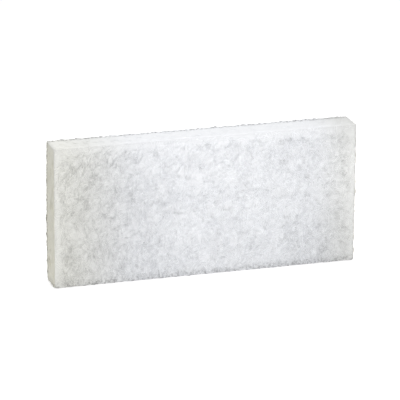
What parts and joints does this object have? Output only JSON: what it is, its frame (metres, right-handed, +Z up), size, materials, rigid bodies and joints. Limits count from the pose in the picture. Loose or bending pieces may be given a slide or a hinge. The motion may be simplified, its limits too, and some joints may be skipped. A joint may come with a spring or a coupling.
{
  "type": "nylon scouring pad",
  "caption": "Rectangular white scouring pad of lofty non-woven nylon fibre web, die-cut to shape, for cleaning by hand or on a hook-faced pad holder.",
  "frame": {"origin": "middle of the underside, the long narrow side that the pad stands on", "axes": "+X along the length, +Y through the thickness to the back face, +Z up the pad's height; the front face looks along -Y"},
  "size_m": [0.254, 0.025, 0.117],
  "materials": {
    "web": "matte white non-woven nylon fibre web, faintly cream on its cut ends"
  },
  "bodies": {
    "root": {"scouring_pad": "web"}
  },
  "joints": []
}
